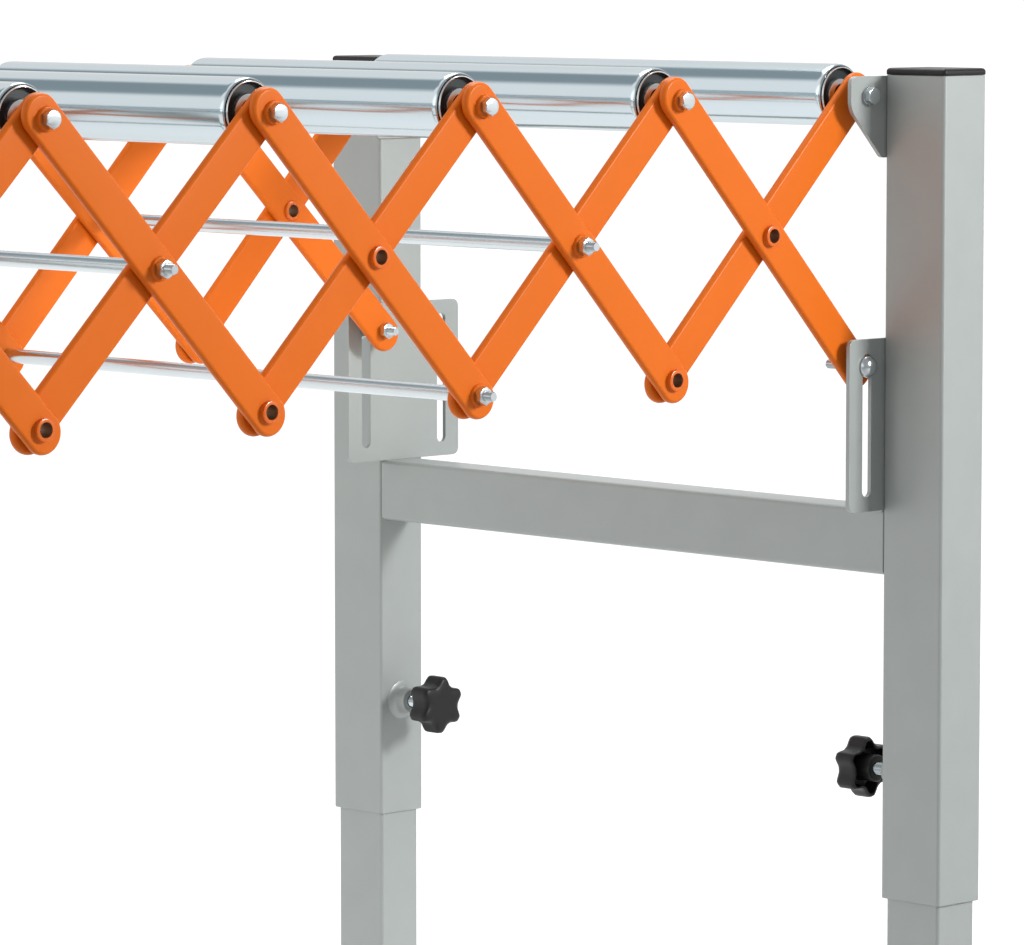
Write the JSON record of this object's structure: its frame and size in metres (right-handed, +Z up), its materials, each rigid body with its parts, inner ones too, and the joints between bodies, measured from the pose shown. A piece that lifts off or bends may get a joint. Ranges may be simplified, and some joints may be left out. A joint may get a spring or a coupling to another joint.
{
  "type": "roller stand",
  "caption": "Expanding roller stand: a scissor lattice of orange bars carries free steel rollers between two grey end frames with telescopic legs and clamp knobs.",
  "frame": {"origin": "on the floor, under the middle of the stand at its shown length", "axes": "+X along the lattice towards the end shown in the picture, +Y from the near side to the far side, +Z up"},
  "size_m": [1.012, 0.5754, 0.707],
  "materials": {
    "frame_paint": "satin grey powder coat",
    "bar_paint": "semi-gloss orange powder coat",
    "zinc": "bright zinc plate",
    "black_plastic": "fine-textured black moulding",
    "rubber": "matt black rubber"
  },
  "bodies": {
    "right_end": {"right_end_frame": "frame_paint", "right_near_top_cap": "black_plastic", "right_far_top_cap": "black_plastic", "roller_axle_1": "zinc"},
    "rising_bars_1": {"near_bar_rising_1": "bar_paint", "far_bar_rising_1": "bar_paint"},
    "falling_bars_1": {"near_bar_falling_1": "bar_paint", "far_bar_falling_1": "bar_paint", "right_near_slot_bolt": "zinc", "right_far_slot_bolt": "zinc", "roller_axle_2": "zinc"},
    "rising_bars_2": {"near_bar_rising_2": "bar_paint", "far_bar_rising_2": "bar_paint", "upper_tie_rod_1": "zinc", "lower_tie_rod_1": "zinc"},
    "falling_bars_2": {"near_bar_falling_2": "bar_paint", "far_bar_falling_2": "bar_paint", "roller_axle_3": "zinc"},
    "rising_bars_3": {"near_bar_rising_3": "bar_paint", "far_bar_rising_3": "bar_paint"},
    "falling_bars_3": {"near_bar_falling_3": "bar_paint", "far_bar_falling_3": "bar_paint", "roller_axle_4": "zinc"},
    "rising_bars_4": {"near_bar_rising_4": "bar_paint", "far_bar_rising_4": "bar_paint", "upper_tie_rod_2": "zinc"},
    "falling_bars_4": {"near_bar_falling_4": "bar_paint", "far_bar_falling_4": "bar_paint", "roller_axle_5": "zinc"},
    "rising_bars_5": {"near_bar_rising_5": "bar_paint", "far_bar_rising_5": "bar_paint", "left_near_slot_bolt": "zinc", "left_far_slot_bolt": "zinc"},
    "falling_bars_5": {"near_bar_falling_5": "bar_paint", "far_bar_falling_5": "bar_paint"},
    "left_end": {"left_end_frame": "frame_paint", "left_near_top_cap": "black_plastic", "left_far_top_cap": "black_plastic", "roller_axle_6": "zinc"},
    "spinning_roller_1": {"roller_1": "zinc"},
    "spinning_roller_2": {"roller_2": "zinc"},
    "spinning_roller_3": {"roller_3": "zinc"},
    "spinning_roller_4": {"roller_4": "zinc"},
    "spinning_roller_5": {"roller_5": "zinc"},
    "spinning_roller_6": {"roller_6": "zinc"},
    "right_near_lower_leg": {"right_near_inner_leg": "frame_paint", "right_near_foot": "rubber"},
    "right_near_knob": {"right_near_clamp_knob": "black_plastic"},
    "right_far_lower_leg": {"right_far_inner_leg": "frame_paint", "right_far_foot": "rubber"},
    "right_far_knob": {"right_far_clamp_knob": "black_plastic"},
    "left_near_lower_leg": {"left_near_inner_leg": "frame_paint", "left_near_foot": "rubber"},
    "left_near_knob": {"left_near_clamp_knob": "black_plastic"},
    "left_far_lower_leg": {"left_far_inner_leg": "frame_paint", "left_far_foot": "rubber"},
    "left_far_knob": {"left_far_clamp_knob": "black_plastic"}
  },
  "joints": [
    {"name": "fold", "type": "hinge", "parent": "right_end", "child": "rising_bars_1", "pos_m": [0.4175, 0, 0.687], "axis": [0, 1, 0], "range_deg": [-33.41, 1.35]},
    {"name": "crossing_1", "type": "hinge", "parent": "rising_bars_1", "child": "falling_bars_1", "pos_m": [0.334, 0, 0.60082], "axis": [0, 1, 0], "range_deg": [-2.7, 66.82]},
    {"name": "roller_pivot_2", "type": "hinge", "parent": "falling_bars_1", "child": "rising_bars_2", "pos_m": [0.2505, 0, 0.687], "axis": [0, 1, 0], "range_deg": [-66.82, 2.7]},
    {"name": "crossing_2", "type": "hinge", "parent": "rising_bars_2", "child": "falling_bars_2", "pos_m": [0.167, 0, 0.60082], "axis": [0, 1, 0], "range_deg": [-2.7, 66.82]},
    {"name": "roller_pivot_3", "type": "hinge", "parent": "falling_bars_2", "child": "rising_bars_3", "pos_m": [0.0835, 0, 0.687], "axis": [0, 1, 0], "range_deg": [-66.82, 2.7]},
    {"name": "crossing_3", "type": "hinge", "parent": "rising_bars_3", "child": "falling_bars_3", "pos_m": [0, 0, 0.60082], "axis": [0, 1, 0], "range_deg": [-2.7, 66.82]},
    {"name": "roller_pivot_4", "type": "hinge", "parent": "falling_bars_3", "child": "rising_bars_4", "pos_m": [-0.0835, 0, 0.687], "axis": [0, 1, 0], "range_deg": [-66.82, 2.7]},
    {"name": "crossing_4", "type": "hinge", "parent": "rising_bars_4", "child": "falling_bars_4", "pos_m": [-0.167, 0, 0.60082], "axis": [0, 1, 0], "range_deg": [-2.7, 66.82]},
    {"name": "roller_pivot_5", "type": "hinge", "parent": "falling_bars_4", "child": "rising_bars_5", "pos_m": [-0.2505, 0, 0.687], "axis": [0, 1, 0], "range_deg": [-66.82, 2.7]},
    {"name": "crossing_5", "type": "hinge", "parent": "rising_bars_5", "child": "falling_bars_5", "pos_m": [-0.334, 0, 0.60082], "axis": [0, 1, 0], "range_deg": [-2.7, 66.82]},
    {"name": "left_end_pivot", "type": "hinge", "parent": "falling_bars_5", "child": "left_end", "pos_m": [-0.4175, 0, 0.687], "axis": [0, 1, 0], "range_deg": [-33.41, 1.35]},
    {"name": "roller_spin_1", "type": "hinge", "parent": "right_end", "child": "spinning_roller_1", "pos_m": [0.4175, 0, 0.687], "axis": [0, 1, 0], "continuous": true},
    {"name": "roller_spin_2", "type": "hinge", "parent": "falling_bars_1", "child": "spinning_roller_2", "pos_m": [0.2505, 0, 0.687], "axis": [0, 1, 0], "continuous": true},
    {"name": "roller_spin_3", "type": "hinge", "parent": "falling_bars_2", "child": "spinning_roller_3", "pos_m": [0.0835, 0, 0.687], "axis": [0, 1, 0], "continuous": true},
    {"name": "roller_spin_4", "type": "hinge", "parent": "falling_bars_3", "child": "spinning_roller_4", "pos_m": [-0.0835, 0, 0.687], "axis": [0, 1, 0], "continuous": true},
    {"name": "roller_spin_5", "type": "hinge", "parent": "falling_bars_4", "child": "spinning_roller_5", "pos_m": [-0.2505, 0, 0.687], "axis": [0, 1, 0], "continuous": true},
    {"name": "roller_spin_6", "type": "hinge", "parent": "left_end", "child": "spinning_roller_6", "pos_m": [-0.4175, 0, 0.687], "axis": [0, 1, 0], "continuous": true},
    {"name": "right_near_height", "type": "slide", "parent": "right_end", "child": "right_near_lower_leg", "axis": [0, 0, -1], "range_m": [-0.15, 0.14]},
    {"name": "right_near_knob_turn", "type": "hinge", "parent": "right_end", "child": "right_near_knob", "pos_m": [0.4535, -0.2627, 0.25], "axis": [0, 1, 0], "range_deg": [0, 720]},
    {"name": "right_far_height", "type": "slide", "parent": "right_end", "child": "right_far_lower_leg", "axis": [0, 0, -1], "range_m": [-0.15, 0.14]},
    {"name": "right_far_knob_turn", "type": "hinge", "parent": "right_end", "child": "right_far_knob", "pos_m": [0.4535, 0.2627, 0.25], "axis": [0, -1, 0], "range_deg": [0, 720]},
    {"name": "left_near_height", "type": "slide", "parent": "left_end", "child": "left_near_lower_leg", "axis": [0, 0, -1], "range_m": [-0.15, 0.14]},
    {"name": "left_near_knob_turn", "type": "hinge", "parent": "left_end", "child": "left_near_knob", "pos_m": [-0.4535, -0.2627, 0.25], "axis": [0, 1, 0], "range_deg": [0, 720]},
    {"name": "left_far_height", "type": "slide", "parent": "left_end", "child": "left_far_lower_leg", "axis": [0, 0, -1], "range_m": [-0.15, 0.14]},
    {"name": "left_far_knob_turn", "type": "hinge", "parent": "left_end", "child": "left_far_knob", "pos_m": [-0.4535, 0.2627, 0.25], "axis": [0, -1, 0], "range_deg": [0, 720]}
  ],
  "couplings": [
    {"joint": "crossing_1", "follows": "fold", "ratio": -2},
    {"joint": "roller_pivot_2", "follows": "fold", "ratio": 2},
    {"joint": "crossing_2", "follows": "fold", "ratio": -2},
    {"joint": "roller_pivot_3", "follows": "fold", "ratio": 2},
    {"joint": "crossing_3", "follows": "fold", "ratio": -2},
    {"joint": "roller_pivot_4", "follows": "fold", "ratio": 2},
    {"joint": "crossing_4", "follows": "fold", "ratio": -2},
    {"joint": "roller_pivot_5", "follows": "fold", "ratio": 2},
    {"joint": "crossing_5", "follows": "fold", "ratio": -2},
    {"joint": "left_end_pivot", "follows": "fold", "ratio": 1}
  ]
}
